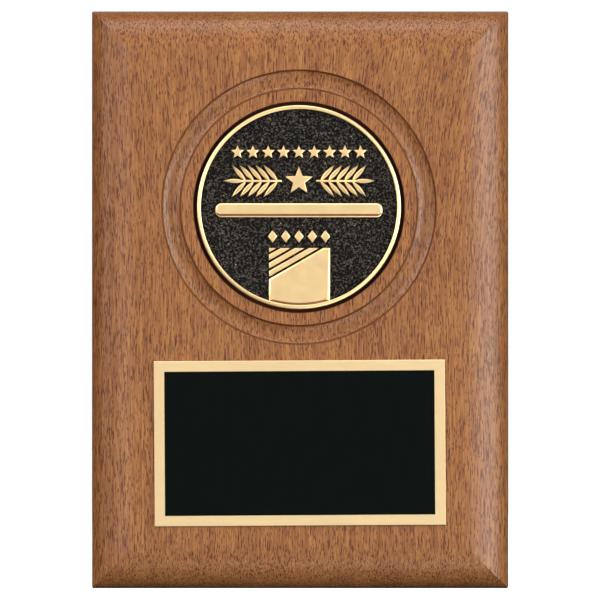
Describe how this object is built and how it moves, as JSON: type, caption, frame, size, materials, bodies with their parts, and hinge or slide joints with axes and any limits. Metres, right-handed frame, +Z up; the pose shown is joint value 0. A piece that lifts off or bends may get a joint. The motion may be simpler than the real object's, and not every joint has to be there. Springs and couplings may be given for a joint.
{
  "type": "wall plaque",
  "caption": "Upright walnut wall plaque with a moulded edge, a round gilt relief medallion in a grooved recess, a black and brass engraving plate and a keyhole hanger.",
  "frame": {"origin": "centre of the board's flat back, which rests on the wall", "axes": "+Z up the plaque, +Y into the wall, +X to the right of a viewer who faces the plaque"},
  "size_m": [0.1276, 0.0201, 0.1768],
  "materials": {
    "walnut": "satin lacquered walnut, upright grain",
    "gilt_casting": "gilt casting, black field, bright relief and rim",
    "foam": "white closed-cell foam tape",
    "plate_brass": "lacquered sheet brass, black panel with a bright border",
    "tape": "clear adhesive film",
    "zinc_steel": "zinc-plated steel",
    "screw_steel": "zinc-plated steel"
  },
  "bodies": {
    "root": {"walnut_board": "walnut", "medallion": "gilt_casting", "medallion_foam": "foam", "engraving_plate": "plate_brass", "plate_tape": "tape", "keyhole_hanger": "zinc_steel", "hanger_screw_upper": "screw_steel", "hanger_screw_lower": "screw_steel"}
  },
  "joints": []
}
